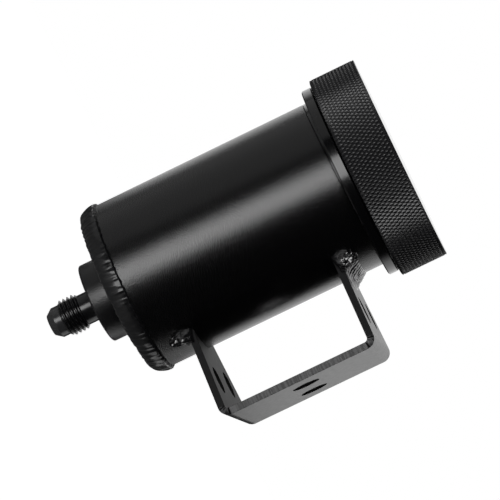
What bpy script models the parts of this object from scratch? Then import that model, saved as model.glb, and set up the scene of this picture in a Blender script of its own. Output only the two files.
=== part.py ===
"""Remote brake fluid reservoir: a welded aluminium canister with a screw cap, an outlet bung and a folded bracket.

The canister's axis is vertical, with the cap on top. +Y points out of the bracket's back face, and the origin is
the centre of that face, between its two bolt holes. All sizes are in metres.
"""
import math

import bmesh
import bpy
from mathutils import Vector

MM = 0.001

# Clearances
GAP = 0.3 * MM
THREAD_CLEARANCE = 0.4 * MM

# Canister
TUBE_DIAMETER = 50.8 * MM
TUBE_WALL = 2.0 * MM
TUBE_LENGTH = 67.2 * MM
WELD_PREP = 1.3 * MM
BASE_PLATE_THICKNESS = 3.0 * MM
BASE_PLATE_LEDGE = 1.0 * MM
BRACKET_CENTRE_HEIGHT = 37.8 * MM

# Rippled bead round the base
BEAD_STANDS_PROUD = 0.7 * MM
BEAD_TOE_ON_TUBE = 1.7 * MM
BEAD_TOE_ON_PLATE = 2.4 * MM
BEAD_CROWN_BELOW_PLATE = 0.85 * MM
BEAD_RIPPLES = 66
BEAD_RIPPLE_HEIGHT = 0.11 * MM

# Outlet bung
BUNG_SPIGOT_DIAMETER = 14.0 * MM
BUNG_FLANGE_DIAMETER = 23.85 * MM
BUNG_FLANGE_THICKNESS = 7.55 * MM
BUNG_EDGE_ROUND = 0.6 * MM
BUNG_NECK_DIAMETER = 9.12 * MM
BUNG_NECK_LENGTH = 4.15 * MM
BUNG_THREAD_DIAMETER = 11.1 * MM
BUNG_THREAD_LENGTH = 6.25 * MM
BUNG_LAND_LENGTH = 2.1 * MM
FLARE_LENGTH = 2.0 * MM
FLARE_HALF_ANGLE = math.radians(37.0)
BUNG_BORE_DIAMETER = 4.4 * MM

# Neck ring
COLLAR_HEIGHT = 0.8 * MM
RING_FLANGE_DIAMETER = 57.8 * MM
RING_FLANGE_THICKNESS = 3.0 * MM
RING_EDGE_CHAMFER = 0.35 * MM
SPIGOT_DEPTH = 6.0 * MM
SPIGOT_WALL = 2.1 * MM
NECK_WALL = 4.0 * MM
NECK_HEIGHT = 9.0 * MM
NECK_CHAMFER = 0.8 * MM
NECK_RELIEF_HEIGHT = 1.6 * MM
NECK_RELIEF_DEPTH = 0.7 * MM

# Cap and its seal
CAP_DIAMETER = 61.3 * MM
CAP_WALL = 5.25 * MM
CAP_HEIGHT = 14.0 * MM
CAP_TOP_THICKNESS = 3.4 * MM
CAP_EDGE_CHAMFER = 0.45 * MM
CAP_MOUTH_CHAMFER = 0.8 * MM
SEAL_SECTION = 2.4 * MM

# Folded bracket
BRACKET_STANDOFF = 48.35 * MM
BRACKET_LENGTH = 47.4 * MM
BRACKET_WIDTH = 47.0 * MM
LEG_WIDTH_AT_TUBE = 28.6 * MM
SHEET = 2.0 * MM
BEND_INNER_RADIUS = 1.0 * MM
BEND_BULGE = 0.3 * MM
BEND_PINCH = 0.15 * MM
BOLT_HOLE_DIAMETER = 8.0 * MM
BOLT_HOLE_SPACING = 19.0 * MM
LEG_HOLES_FROM_AXIS = 36.5 * MM

# Fillet weld along the upper leg and the two tacks at the lower leg's corners
FILLET_FOOT = 4.5 * MM
FILLET_RISE = 3.6 * MM
FILLET_CROWN = 0.35 * MM
FILLET_OVERRUN = 2.0 * MM
FILLET_RIPPLE_LENGTH = 1.7 * MM
FILLET_RIPPLE_HEIGHT = 0.16 * MM
TACK_FOOT = 6.2 * MM
TACK_RISE = 3.4 * MM
TACK_LENGTH_ON_LEG = 4.0 * MM

# Facets
ROUND_STEPS = 72
SMALL_ROUND_STEPS = 40
RIPPLE_STEPS = 3
BEND_STEPS = 6
SEAL_SECTION_STEPS = 8

# Heights and radii worked out from the sizes above
AXIS_Y = -BRACKET_STANDOFF
TUBE_RADIUS = TUBE_DIAMETER / 2
TUBE_INNER_RADIUS = TUBE_RADIUS - TUBE_WALL
PLATE_BOTTOM = -BRACKET_CENTRE_HEIGHT
PLATE_TOP = PLATE_BOTTOM + BASE_PLATE_THICKNESS
PLATE_RADIUS = TUBE_RADIUS - BASE_PLATE_LEDGE
TUBE_BOTTOM = PLATE_TOP + GAP
TUBE_TOP = TUBE_BOTTOM + TUBE_LENGTH
COLLAR_BOTTOM = TUBE_TOP + GAP
RING_BOTTOM = COLLAR_BOTTOM + COLLAR_HEIGHT
RING_TOP = RING_BOTTOM + RING_FLANGE_THICKNESS
NECK_TOP = RING_TOP + NECK_HEIGHT
CAP_BOTTOM = RING_TOP + GAP
CAP_TOP = CAP_BOTTOM + CAP_HEIGHT
CAP_CEILING = CAP_TOP - CAP_TOP_THICKNESS
CAP_RADIUS = CAP_DIAMETER / 2
CAP_BORE_RADIUS = CAP_RADIUS - CAP_WALL
NECK_RADIUS = CAP_BORE_RADIUS - THREAD_CLEARANCE
SPIGOT_RADIUS = TUBE_INNER_RADIUS - GAP
NECK_BORE_RADIUS = min(NECK_RADIUS - NECK_WALL, SPIGOT_RADIUS - SPIGOT_WALL)
SEAL_RADIUS = (NECK_RADIUS + NECK_BORE_RADIUS) / 2
SEAL_CENTRE = NECK_TOP + GAP + SEAL_SECTION / 2
SEAL_GROOVE_ROOF = SEAL_CENTRE + SEAL_SECTION / 2 + GAP
LEG_OUTER = BRACKET_LENGTH / 2
BEND_OUTER_RADIUS = BEND_INNER_RADIUS + SHEET


def clear_scene():
    for obj in list(bpy.data.objects):
        bpy.data.objects.remove(obj, do_unlink=True)


def make_material(name, colour, roughness, metallic):
    """A plain Principled material for one sub-part."""
    mat = bpy.data.materials.new(name)
    mat.use_nodes = True
    shader = mat.node_tree.nodes["Principled BSDF"]
    shader.inputs["Base Color"].default_value = (*colour, 1.0)
    shader.inputs["Roughness"].default_value = roughness
    shader.inputs["Metallic"].default_value = metallic
    return mat


def make_object(name, bm, mat=None, parent=None, smooth_angle=35.0):
    """Turn a bmesh into a named object, shaded smooth up to the given angle."""
    bmesh.ops.recalc_face_normals(bm, faces=bm.faces)
    mesh = bpy.data.meshes.new(name)
    bm.to_mesh(mesh)
    bm.free()
    mesh.shade_smooth()
    mesh.set_sharp_from_angle(angle=math.radians(smooth_angle))
    if mat is not None:
        mesh.materials.append(mat)
    obj = bpy.data.objects.new(name, mesh)
    obj.parent = parent
    bpy.context.scene.collection.objects.link(obj)
    return obj


def make_empty(name, location):
    empty = bpy.data.objects.new(name, None)
    empty.location = location
    bpy.context.scene.collection.objects.link(empty)
    return empty


def spin_profile(profile, steps):
    """Turn a closed outline of (radius, height) points round the Z axis."""
    bm = bmesh.new()
    verts = [bm.verts.new((radius, 0.0, height)) for radius, height in profile]
    edges = [bm.edges.new((verts[i - 1], verts[i])) for i in range(len(verts))]
    bmesh.ops.spin(bm, geom=verts + edges, cent=(0, 0, 0), axis=(0, 0, 1), angle=math.tau, steps=steps)
    bmesh.ops.remove_doubles(bm, verts=bm.verts, dist=GAP / 100)
    return bm


def arc(centre, radius, start, end, steps):
    """Points on an arc in the plane of an outline, with both ends."""
    points = []
    for i in range(steps + 1):
        angle = math.radians(start + (end - start) * i / steps)
        points.append((centre[0] + radius * math.cos(angle), centre[1] + radius * math.sin(angle)))
    return points


def loft(rings, closed):
    """Skin a list of closed loops; an open skin gets a flat face at each end."""
    bm = bmesh.new()
    loops = [[bm.verts.new(point) for point in ring] for ring in rings]
    count = len(loops[0])
    last = len(loops) if closed else len(loops) - 1
    for i in range(last):
        near, far = loops[i], loops[(i + 1) % len(loops)]
        for j in range(count):
            k = (j + 1) % count
            bm.faces.new((near[j], near[k], far[k], far[j]))
    if not closed:
        bm.faces.new(loops[0])
        bm.faces.new(list(reversed(loops[-1])))
    return bm


def cut(obj, cutters):
    """Take each cutter's shape out of an object."""
    for cutter in cutters:
        modifier = obj.modifiers.new("Cut " + cutter.name, "BOOLEAN")
        modifier.operation = "DIFFERENCE"
        modifier.solver = "EXACT"
        modifier.object = cutter


def as_cutter(obj):
    obj.hide_render = True
    obj.display_type = "WIRE"
    return obj


def rod_cutter(name, radius, low, high, direction, steps, parent=None):
    """A round cutter along Y or Z between two points."""
    centre = (Vector(low) + Vector(high)) / 2
    length = (Vector(high) - Vector(low)).length
    bm = bmesh.new()
    bmesh.ops.create_cone(bm, cap_ends=True, segments=steps, radius1=radius, radius2=radius, depth=length)
    obj = make_object(name, bm, parent=parent)
    obj.location = centre
    if direction == "Y":
        obj.rotation_euler = (math.radians(90), 0, 0)
    return as_cutter(obj)


def make_body_tube(canister, mat):
    prep_top = TUBE_BOTTOM + WELD_PREP
    profile = [
        (TUBE_INNER_RADIUS, TUBE_BOTTOM),
        (TUBE_RADIUS - WELD_PREP, TUBE_BOTTOM),
        (TUBE_RADIUS, prep_top),
        (TUBE_RADIUS, TUBE_TOP),
        (TUBE_INNER_RADIUS, TUBE_TOP),
    ]
    return make_object("body_tube", spin_profile(profile, ROUND_STEPS), mat, canister)


def make_base_plate(canister, mat):
    hole = BUNG_SPIGOT_DIAMETER / 2 + GAP
    profile = [
        (hole, PLATE_BOTTOM),
        (PLATE_RADIUS, PLATE_BOTTOM),
        (PLATE_RADIUS, PLATE_TOP),
        (hole, PLATE_TOP),
    ]
    return make_object("base_plate", spin_profile(profile, ROUND_STEPS), mat, canister)


def make_base_weld(canister, mat):
    """The bead that fills the corner between tube and plate, with its ripples lying aslant."""
    toe_top = TUBE_BOTTOM + BEAD_TOE_ON_TUBE
    crown = TUBE_RADIUS + BEAD_STANDS_PROUD
    lip = GAP + 0.15 * MM
    floor = PLATE_BOTTOM - GAP
    lowest = PLATE_BOTTOM - BEAD_CROWN_BELOW_PLATE
    inner = [
        (PLATE_RADIUS - BEAD_TOE_ON_PLATE, floor),
        (PLATE_RADIUS + GAP, floor),
        (PLATE_RADIUS + GAP, TUBE_BOTTOM - GAP),
        (TUBE_RADIUS + GAP, TUBE_BOTTOM + WELD_PREP - GAP),
        (TUBE_RADIUS + GAP, toe_top),
    ]
    half = (toe_top - lowest) / 2
    outer = [
        (TUBE_RADIUS + lip, toe_top),
        (crown - 0.18 * MM, toe_top - 0.35 * half),
        (crown, toe_top - 0.8 * half),
        (crown - 0.05 * MM, toe_top - 1.25 * half),
        (TUBE_RADIUS - 0.1 * MM, toe_top - 1.72 * half),
        (PLATE_RADIUS - 0.3 * MM, lowest),
        (PLATE_RADIUS - 0.75 * BEAD_TOE_ON_PLATE, lowest + 0.1 * MM),
    ]
    lean = [0.0, 0.5, 1.2, 1.9, 2.4, 2.0, 1.2]
    height = [0.0, 0.7, 1.0, 1.0, 1.0, 0.8, 0.3]
    steps = BEAD_RIPPLES * RIPPLE_STEPS
    rings = []
    for i in range(steps):
        turn = math.tau * i / steps
        section = list(inner)
        for (radius, level), phase, share in zip(outer, lean, height):
            ripple = BEAD_RIPPLE_HEIGHT * share * math.cos(BEAD_RIPPLES * turn + phase)
            section.append((radius + ripple, level - ripple / 2))
        rings.append([(r * math.cos(turn), r * math.sin(turn), z) for r, z in section])
    return make_object("base_weld", loft(rings, closed=True), mat, canister, smooth_angle=60.0)


def make_outlet_bung(canister, mat):
    """Spigot, flange, neck, plain cylinder for the fine thread, land and flare cone, bored through."""
    bore = BUNG_BORE_DIAMETER / 2
    spigot = BUNG_SPIGOT_DIAMETER / 2
    flange = BUNG_FLANGE_DIAMETER / 2
    neck = BUNG_NECK_DIAMETER / 2
    thread = BUNG_THREAD_DIAMETER / 2
    depth = thread - neck
    flange_top = PLATE_BOTTOM - GAP
    flange_face = flange_top - BUNG_FLANGE_THICKNESS
    thread_top = flange_face - BUNG_NECK_LENGTH
    thread_bottom = thread_top - BUNG_THREAD_LENGTH
    land_bottom = thread_bottom - BUNG_LAND_LENGTH
    tip = land_bottom - FLARE_LENGTH
    tip_radius = neck - FLARE_LENGTH * math.tan(FLARE_HALF_ANGLE)
    edge = BUNG_EDGE_ROUND
    profile = [(bore, PLATE_TOP), (spigot, PLATE_TOP), (spigot, flange_top), (flange, flange_top)]
    profile += arc((flange - edge, flange_face + edge), edge, 0, -90, 3)
    profile += [
        (neck, flange_face),
        (neck, thread_top),
        (thread, thread_top - depth),
        (thread, thread_bottom + depth),
        (neck, thread_bottom),
        (neck, land_bottom),
        (tip_radius, tip),
        (bore, tip),
    ]
    return make_object("outlet_bung", spin_profile(profile, SMALL_ROUND_STEPS), mat, canister)


def make_neck_ring(canister, mat):
    """Spigot inside the tube, collar on its end, flange under the cap and the neck that carries the cap's thread."""
    flange = RING_FLANGE_DIAMETER / 2
    chamfer = RING_EDGE_CHAMFER
    relief = NECK_RADIUS - NECK_RELIEF_DEPTH
    profile = [
        (NECK_BORE_RADIUS, COLLAR_BOTTOM - SPIGOT_DEPTH),
        (SPIGOT_RADIUS, COLLAR_BOTTOM - SPIGOT_DEPTH),
        (SPIGOT_RADIUS, COLLAR_BOTTOM),
        (TUBE_RADIUS, COLLAR_BOTTOM),
        (TUBE_RADIUS, RING_BOTTOM),
        (flange - chamfer, RING_BOTTOM),
        (flange, RING_BOTTOM + chamfer),
        (flange, RING_TOP - chamfer),
        (flange - chamfer, RING_TOP),
        (relief, RING_TOP),
        (relief, RING_TOP + NECK_RELIEF_HEIGHT),
        (NECK_RADIUS, RING_TOP + NECK_RELIEF_HEIGHT + NECK_RELIEF_DEPTH),
        (NECK_RADIUS, NECK_TOP - NECK_CHAMFER),
        (NECK_RADIUS - NECK_CHAMFER, NECK_TOP),
        (NECK_BORE_RADIUS, NECK_TOP),
    ]
    return make_object("neck_ring", spin_profile(profile, ROUND_STEPS), mat, canister)


def make_screw_cap(cap_axis, mat):
    """Hollow cap with a groove for the seal in its ceiling. Heights are taken from the cap's own origin."""
    groove_half = SEAL_SECTION / 2 + GAP
    outer = [
        (CAP_BORE_RADIUS + CAP_MOUTH_CHAMFER, CAP_BOTTOM),
        (CAP_RADIUS - CAP_EDGE_CHAMFER, CAP_BOTTOM),
        (CAP_RADIUS, CAP_BOTTOM + CAP_EDGE_CHAMFER),
        (CAP_RADIUS, CAP_TOP - CAP_EDGE_CHAMFER),
        (CAP_RADIUS - CAP_EDGE_CHAMFER, CAP_TOP),
    ]
    inner = [
        (0.0, CAP_CEILING),
        (SEAL_RADIUS - groove_half, CAP_CEILING),
        (SEAL_RADIUS - groove_half, SEAL_GROOVE_ROOF),
        (SEAL_RADIUS + groove_half, SEAL_GROOVE_ROOF),
        (SEAL_RADIUS + groove_half, CAP_CEILING),
        (CAP_BORE_RADIUS, CAP_CEILING),
        (CAP_BORE_RADIUS, CAP_BOTTOM + CAP_MOUTH_CHAMFER),
    ]
    profile = [(radius, level - CAP_BOTTOM) for radius, level in outer + [(0.0, CAP_TOP)] + inner]
    return make_object("screw_cap", spin_solid(profile, ROUND_STEPS), mat, cap_axis)


def spin_solid(profile, steps):
    """Turn an outline that touches the axis at two of its points, with no edge along the axis."""
    bm = bmesh.new()
    verts = [bm.verts.new((radius, 0.0, height)) for radius, height in profile]
    edges = []
    for i in range(len(verts)):
        on_axis = profile[i - 1][0] == 0.0 and profile[i][0] == 0.0
        if not on_axis:
            edges.append(bm.edges.new((verts[i - 1], verts[i])))
    bmesh.ops.spin(bm, geom=verts + edges, cent=(0, 0, 0), axis=(0, 0, 1), angle=math.tau, steps=steps)
    bmesh.ops.remove_doubles(bm, verts=bm.verts, dist=GAP / 100)
    return bm


def make_cap_seal(cap_axis, mat):
    section = arc((SEAL_RADIUS, SEAL_CENTRE - CAP_BOTTOM), SEAL_SECTION / 2, 0, 360, SEAL_SECTION_STEPS)[:-1]
    return make_object("cap_seal", spin_profile(section, SMALL_ROUND_STEPS), mat, cap_axis)


def bracket_stations(grow):
    """Cross-sections of the folded sheet, from the upper leg's end round the back to the middle.

    Each station is (inner point, outer point, inner half width, outer half width), its points being
    (distance from the tube's axis, height). grow makes the sheet bigger on every side.
    """
    corner_from_axis = math.sqrt(TUBE_RADIUS ** 2 - (LEG_WIDTH_AT_TUBE / 2) ** 2)
    bend_from_axis = BRACKET_STANDOFF - BEND_OUTER_RADIUS
    bend_height = LEG_OUTER - BEND_OUTER_RADIUS
    half_bend = (BEND_INNER_RADIUS + SHEET / 2) * math.radians(45)
    leg_run = bend_from_axis - corner_from_axis + half_bend
    taper = (BRACKET_WIDTH - LEG_WIDTH_AT_TUBE) / 2 / leg_run
    blank_end = corner_from_axis - 2 * SHEET

    def half_width(run):
        return BRACKET_WIDTH / 2 - taper * max(run, 0.0) + grow

    end_half = half_width(bend_from_axis - blank_end + half_bend)
    stations = [(
        (blank_end, LEG_OUTER - SHEET - grow),
        (blank_end, LEG_OUTER + grow),
        end_half,
        end_half,
    )]
    for i in range(BEND_STEPS + 1):
        share = i / BEND_STEPS
        angle = math.radians(90 * (1 - share))
        direction = (math.cos(angle), math.sin(angle))
        inner = BEND_INNER_RADIUS - grow
        outer = BEND_OUTER_RADIUS + grow
        half = half_width(half_bend * (1 - 2 * share))
        swell = math.sin(math.pi * share)
        stations.append((
            (bend_from_axis + inner * direction[0], bend_height + inner * direction[1]),
            (bend_from_axis + outer * direction[0], bend_height + outer * direction[1]),
            half + BEND_BULGE * swell,
            half - BEND_PINCH * swell,
        ))
    return stations


def make_bracket_sheet(name, grow, mat=None):
    """The folded sheet before its holes and saddle cuts."""
    upper = bracket_stations(grow)
    lower = [((i[0], -i[1]), (o[0], -o[1]), iw, ow) for i, o, iw, ow in reversed(upper)]
    rings = []
    for inner, outer, inner_half, outer_half in upper + lower:
        rings.append([
            (-inner_half, AXIS_Y + inner[0], inner[1]),
            (inner_half, AXIS_Y + inner[0], inner[1]),
            (outer_half, AXIS_Y + outer[0], outer[1]),
            (-outer_half, AXIS_Y + outer[0], outer[1]),
        ])
    return make_object(name, loft(rings, closed=False), mat)


def make_bracket(mat, saddle):
    bracket = make_bracket_sheet("mounting_bracket", 0.0, mat)
    cutters = [saddle]
    radius = BOLT_HOLE_DIAMETER / 2
    reach = 2 * SHEET
    for side, label in ((-1, "left"), (1, "right")):
        x = side * BOLT_HOLE_SPACING / 2
        back = rod_cutter("back_hole_" + label, radius, (x, -2 * reach, 0), (x, reach, 0), "Y", SMALL_ROUND_STEPS)
        leg_y = AXIS_Y + LEG_HOLES_FROM_AXIS
        high = LEG_OUTER + reach
        legs = rod_cutter("leg_holes_" + label, radius, (x, leg_y, -high), (x, leg_y, high), "Z", SMALL_ROUND_STEPS)
        cutters += [back, legs]
    cut(bracket, cutters)
    return bracket


def make_bracket_weld(name, side, start, end, foot, rise, mat, cutters):
    """A rippled fillet between a leg's outer face and the tube. side is 1 above, -1 below.

    start and end are lengths round the tube from its middle line. foot lies along the tube, rise along the leg.
    """
    ripples = round((end - start) / FILLET_RIPPLE_LENGTH)
    steps = ripples * RIPPLE_STEPS
    root_radius = TUBE_RADIUS - GAP
    bottom = LEG_OUTER - 0.8 * SHEET
    rings = []
    for i in range(steps + 1):
        share = 2 * i / steps - 1
        angle = (start + (end - start) * i / steps) / TUBE_RADIUS
        ripple = FILLET_RIPPLE_HEIGHT * math.cos(math.tau * ripples * i / steps)
        fullness = math.sqrt(max(1.0 - abs(share) ** 8, 0.0)) * 0.75 + 0.25
        section = [(root_radius, bottom), (TUBE_RADIUS + rise * fullness, bottom)]
        for k in range(5):
            part = k / 4
            bow = math.sin(math.pi * part)
            out = FILLET_CROWN * bow + ripple * (0.4 + 0.6 * bow)
            radius = TUBE_RADIUS + rise * fullness * (1 - part) + out
            level = LEG_OUTER + foot * fullness * part + out
            section.append((max(radius, root_radius), level))
        section.append((root_radius, LEG_OUTER + foot * fullness))
        rings.append([
            (r * math.sin(angle), AXIS_Y + r * math.cos(angle), side * z) for r, z in section
        ])
    weld = make_object(name, loft(rings, closed=False), mat, smooth_angle=60.0)
    cut(weld, cutters)
    return weld


def main():
    clear_scene()
    satin = (0.021, 0.021, 0.023)
    coated = make_material("black coated tube", satin, 0.48, 0.0)
    plate = make_material("black coated plate", satin, 0.5, 0.0)
    turned = make_material("black anodised ring", (0.02, 0.02, 0.022), 0.35, 0.4)
    knurled = make_material("black anodised cap", (0.016, 0.016, 0.018), 0.38, 0.4)
    fitting = make_material("black anodised bung", (0.018, 0.018, 0.02), 0.25, 0.5)
    folded = make_material("black coated bracket", (0.045, 0.045, 0.047), 0.42, 0.1)
    base_bead = make_material("black coated base weld", (0.014, 0.014, 0.015), 0.3, 0.1)
    upper_bead = make_material("black coated upper weld", (0.014, 0.014, 0.015), 0.25, 0.1)
    lower_bead = make_material("black coated lower weld", (0.014, 0.014, 0.015), 0.25, 0.1)
    far_bead = make_material("black coated far weld", (0.014, 0.014, 0.015), 0.25, 0.1)
    rubber = make_material("black rubber seal", (0.012, 0.012, 0.012), 0.7, 0.0)

    canister = make_empty("canister axis", (0, AXIS_Y, 0))
    cap_axis = make_empty("cap axis", (0, AXIS_Y, CAP_BOTTOM))
    make_body_tube(canister, coated)
    make_base_plate(canister, plate)
    make_base_weld(canister, base_bead)
    make_outlet_bung(canister, fitting)
    make_neck_ring(canister, turned)
    make_screw_cap(cap_axis, knurled)
    make_cap_seal(cap_axis, rubber)

    low = (0, AXIS_Y, -BRACKET_LENGTH)
    high = (0, AXIS_Y, BRACKET_LENGTH)
    saddle = rod_cutter("tube saddle", TUBE_RADIUS + GAP, low, high, "Z", 2 * ROUND_STEPS)
    sheet_room = as_cutter(make_bracket_sheet("sheet room", GAP))
    make_bracket(folded, saddle)
    room = [saddle, sheet_room]
    corner = TUBE_RADIUS * math.asin(LEG_WIDTH_AT_TUBE / 2 / TUBE_RADIUS)
    outside = corner + FILLET_OVERRUN
    inside = corner - TACK_LENGTH_ON_LEG
    make_bracket_weld("bracket_weld_upper", 1, -outside, outside, FILLET_FOOT, FILLET_RISE, upper_bead, room)
    make_bracket_weld("bracket_weld_lower", -1, inside, outside, TACK_FOOT, TACK_RISE, lower_bead, room)
    make_bracket_weld("bracket_weld_lower_far", -1, -outside, -inside, TACK_FOOT, TACK_RISE, far_bead, room)


main()
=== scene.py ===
"""Looks of a brake fluid reservoir: a black welded canister with a knurled cap, outlet and folded bracket.

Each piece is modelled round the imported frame, in metres, and rides on the body that it belongs to.
"""
import math

import bmesh
import bpy
from bpy.props import FloatProperty, FloatVectorProperty, IntProperty, PointerProperty
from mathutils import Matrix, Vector, noise


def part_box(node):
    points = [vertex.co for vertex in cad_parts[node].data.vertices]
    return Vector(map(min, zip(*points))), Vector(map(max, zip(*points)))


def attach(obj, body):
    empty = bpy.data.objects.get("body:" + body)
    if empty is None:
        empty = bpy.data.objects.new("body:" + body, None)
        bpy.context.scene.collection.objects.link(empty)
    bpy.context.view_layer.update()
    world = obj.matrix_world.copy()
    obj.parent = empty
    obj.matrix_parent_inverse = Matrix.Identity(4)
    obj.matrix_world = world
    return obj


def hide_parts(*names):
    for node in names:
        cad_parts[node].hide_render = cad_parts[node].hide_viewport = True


bl_info = {
    "name": "Brake Fluid Reservoir",
    "version": (1, 0, 0),
    "blender": (4, 5, 0),
    "location": "3D View > Sidebar > Reservoir",
    "description": "Models and finishes a welded brake fluid reservoir, piece by piece",
    "category": "Object",
}

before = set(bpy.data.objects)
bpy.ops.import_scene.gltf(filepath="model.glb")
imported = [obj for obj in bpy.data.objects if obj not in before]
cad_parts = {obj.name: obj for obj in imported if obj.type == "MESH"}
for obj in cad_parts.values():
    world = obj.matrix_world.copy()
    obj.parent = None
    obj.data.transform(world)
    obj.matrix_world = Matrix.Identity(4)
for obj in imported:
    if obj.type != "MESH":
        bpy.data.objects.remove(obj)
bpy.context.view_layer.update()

MM = 0.001

# Places read from the frame
TUBE_LOW, TUBE_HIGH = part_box("body_tube")
PLATE_LOW, PLATE_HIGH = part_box("base_plate")
BUNG_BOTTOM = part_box("outlet_bung")[0].z
RING_LOW, RING_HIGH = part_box("neck_ring")
CAP_LOW, CAP_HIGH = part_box("screw_cap")
SEAL_LOW, SEAL_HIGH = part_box("cap_seal")
LEG_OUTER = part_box("mounting_bracket")[1].z

AXIS_Y = (TUBE_LOW.y + TUBE_HIGH.y) / 2
TUBE_RADIUS = (TUBE_HIGH.x - TUBE_LOW.x) / 2
TUBE_BOTTOM = TUBE_LOW.z
TUBE_TOP = TUBE_HIGH.z
PLATE_RADIUS = (PLATE_HIGH.x - PLATE_LOW.x) / 2
PLATE_BOTTOM = PLATE_LOW.z
PLATE_TOP = PLATE_HIGH.z
CAP_RADIUS = (CAP_HIGH.x - CAP_LOW.x) / 2
FLANGE_RADIUS = (RING_HIGH.x - RING_LOW.x) / 2
NECK_TOP = RING_HIGH.z
SPIGOT_BOTTOM = RING_LOW.z

# Clearance between neighbouring solids in the frame, and the height of the ring's thin collar
GAP = 0.3 * MM
COLLAR_HEIGHT = 0.8 * MM

# Radii of the rounded corners of the turned pieces
CRISP = 0.06 * MM
FINE = 0.1 * MM
SLIGHT = 0.12 * MM
SOFT = 0.15 * MM
BROKEN = 0.2 * MM
EASED = 0.25 * MM
FULL = 0.3 * MM

# Fineness of the meshes
ROUND_STEPS = 192
SMALL_ROUND_STEPS = 128
ARC_STEPS = 4
MERGE = 0.002 * MM


def length(description, millimetres):
    """A length property that is given in millimetres and kept in metres."""
    metres = millimetres * MM
    return FloatProperty(description=description, default=metres, min=0.0, precision=5, unit="LENGTH")


def share(description, default):
    return FloatProperty(description=description, default=default, min=0.0, max=1.0, subtype="FACTOR")


def number(description, default):
    return FloatProperty(description=description, default=default)


def count(description, default):
    return IntProperty(description=description, default=default)


def colour(description, default):
    return FloatVectorProperty(description=description, default=default, min=0.0, max=1.0, subtype="COLOR")


def position(description, default):
    return FloatVectorProperty(description=description, default=default, subtype="XYZ")


def angle(description, degrees):
    return FloatProperty(description=description, default=math.radians(degrees), subtype="ANGLE")


class CanisterSizes(bpy.types.PropertyGroup):
    """Tube, base plate and neck ring"""

    tube_wall: length("Thickness of the drawn tube", 2.0)
    weld_prep: length("Chamfer at the tube's lower end", 1.3)
    joint_gap: length("Width of the dark line between tube and collar", 0.16)
    joint_drop: length("How far the joint line lies below the flange on average", 0.725)
    joint_lean_x: length("How much nearer the flange the joint line is at the +X side", 0.295)
    joint_lean_y: length("How much nearer the flange the joint line is at the +Y side", 0.575)
    flange_thickness: length("Thickness of the ring's flange", 3.0)
    flange_chamfer: length("Chamfer on the flange's two edges", 0.3)
    spigot_wall: length("Wall of the spigot inside the tube", 2.1)
    neck_wall: length("Wall of the threaded neck", 4.0)
    neck_relief: length("Depth of the groove below the neck's thread", 1.0)
    neck_pitch: length("Rise of the cap's thread in one turn", 3.0)
    neck_depth: length("Depth of the cap's thread", 0.95)
    satin: colour("Colour of the coated tube", (0.0012, 0.0012, 0.0014))
    satin_roughness: share("Roughness of the coated tube", 0.23)
    turned: colour("Colour of the anodised ring", (0.0015, 0.0015, 0.0018))
    turned_roughness: share("Roughness of the anodised ring", 0.16)


class BungSizes(bpy.types.PropertyGroup):
    """Outlet bung with its flare end"""

    spigot: length("Part of the bung that sits in the base plate", 14.0)
    flange: length("Round flange under the base", 23.85)
    flange_thickness: length("Height of the round flange", 7.55)
    edge_round: length("Rounding of the flange's lower edge", 0.6)
    neck: length("Plain neck between flange and thread", 9.12)
    neck_length: length("Length of the plain neck", 4.15)
    thread: length("Outer diameter of the outlet's thread", 11.1)
    thread_length: length("Length of the outlet's thread", 6.25)
    pitch: length("Twenty turns to the inch", 1.27)
    depth: length("Depth of the outlet's thread", 0.8)
    land: length("Plain land between thread and flare", 2.1)
    flare: length("Height of the flare cone", 2.0)
    flare_angle: angle("Half angle of the flare cone", 37.0)
    bore: length("Diameter of the fluid passage", 4.4)
    tint: colour("Colour of the anodised bung", (0.003, 0.003, 0.0034))
    # The land and flare's lighter colour is a painted sheen that stands in for light from below.
    flare_painted_sheen: colour("Colour of the land and the flare, where the coating is thin", (0.02, 0.02, 0.021))
    roughness: share("Roughness of the anodised bung", 0.22)


class CapSizes(bpy.types.PropertyGroup):
    """Knurled screw cap and its seal"""

    wall: length("Wall between the knurl and the cap's bore", 5.25)
    top: length("Thickness of the cap's top", 3.4)
    chamfer: length("Chamfer at both rims", 0.4)
    mouth: length("Chamfer inside the cap's mouth", 0.8)
    grooves: count("Knurl grooves round the cap in each direction", 158)
    knurl_depth: length("Depth of the knurl's grooves", 0.4)
    knurl_flat: share("Share of the way from tip to groove that a diamond's flat takes off", 0.38)
    knurl_rise: length("Height between two rows of diamonds", 1.02)
    section: length("Thickness of the seal", 2.4)
    parting: length("Height of the moulding line on the seal", 0.06)
    tint: colour("Colour of the anodised cap", (0.007, 0.007, 0.0078))
    roughness: share("Roughness of the anodised cap", 0.3)
    top_roughness: share("Roughness of the cap's faced top", 0.08)
    rubber: colour("Colour of the seal", (0.012, 0.012, 0.012))


class BracketSizes(bpy.types.PropertyGroup):
    """Folded sheet bracket"""

    sheet: length("Thickness of the folded sheet", 2.0)
    width: length("Width of the back plate", 47.0)
    leg_width: length("Width of a leg where it meets the tube", 28.6)
    bend: length("Inner radius of the two bends", 1.0)
    bulge: length("How far the sheet's inner edge swells sideways at a bend", 0.3)
    ears: length("Height of the two ears that each bend raises at the sheet's edge", 0.25)
    pinch: length("How far the sheet's outer edge draws in at a bend", 0.2)
    hole: length("Diameter of the six bolt holes", 8.0)
    hole_spacing: length("Distance between two holes of a face", 19.0)
    leg_holes: length("Distance of the legs' holes from the tube's axis", 36.5)
    edge: length("Rounding of the sheet's edges", 0.16)
    tint: colour("Colour of the coated sheet", (0.006, 0.006, 0.0063))
    # The edges' colour is lighter than the sheet's: a painted sheen over real file marks.
    edge_tint_with_painted_sheen: colour("Colour of the sheet's filed edges", (0.05, 0.05, 0.051))
    roughness: share("Roughness of the coated sheet", 0.36)


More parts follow.
